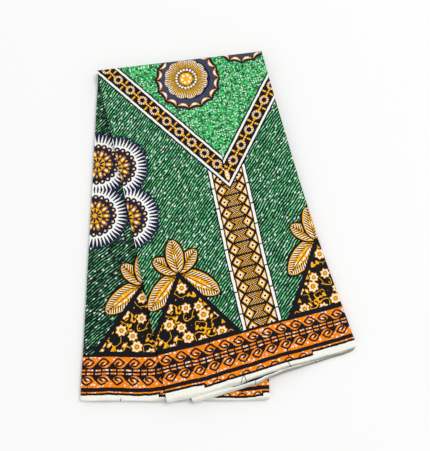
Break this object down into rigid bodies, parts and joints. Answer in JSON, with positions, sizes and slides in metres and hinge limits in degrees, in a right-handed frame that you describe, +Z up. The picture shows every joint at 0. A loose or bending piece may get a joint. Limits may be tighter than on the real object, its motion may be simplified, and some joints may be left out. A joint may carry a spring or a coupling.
{
  "type": "folded length of wax-print ankara fabric",
  "caption": "Length of wax-print cotton cloth, pleated into a pack and folded once, lying flat with its upper half fanned out.",
  "frame": {"origin": "middle of the footprint, on the surface that the pack rests on", "axes": "+Y from the hems towards the top fold, +X to the fanned side, +Z up out of the pack"},
  "size_m": [0.4382, 0.6188, 0.018],
  "materials": {
    "front_print": "wax-print cotton, crisp with a faint sheen",
    "second_print": "wax-print cotton, the plain selvedge showing",
    "inner_print": "wax-print cotton, crisp with a faint sheen",
    "layer_edges": "turned edges of the printed plies"
  },
  "bodies": {
    "root": {"front_panel": "front_print", "second_panel": "second_print", "left_panel": "inner_print", "folded_layers": "layer_edges"}
  },
  "joints": []
}
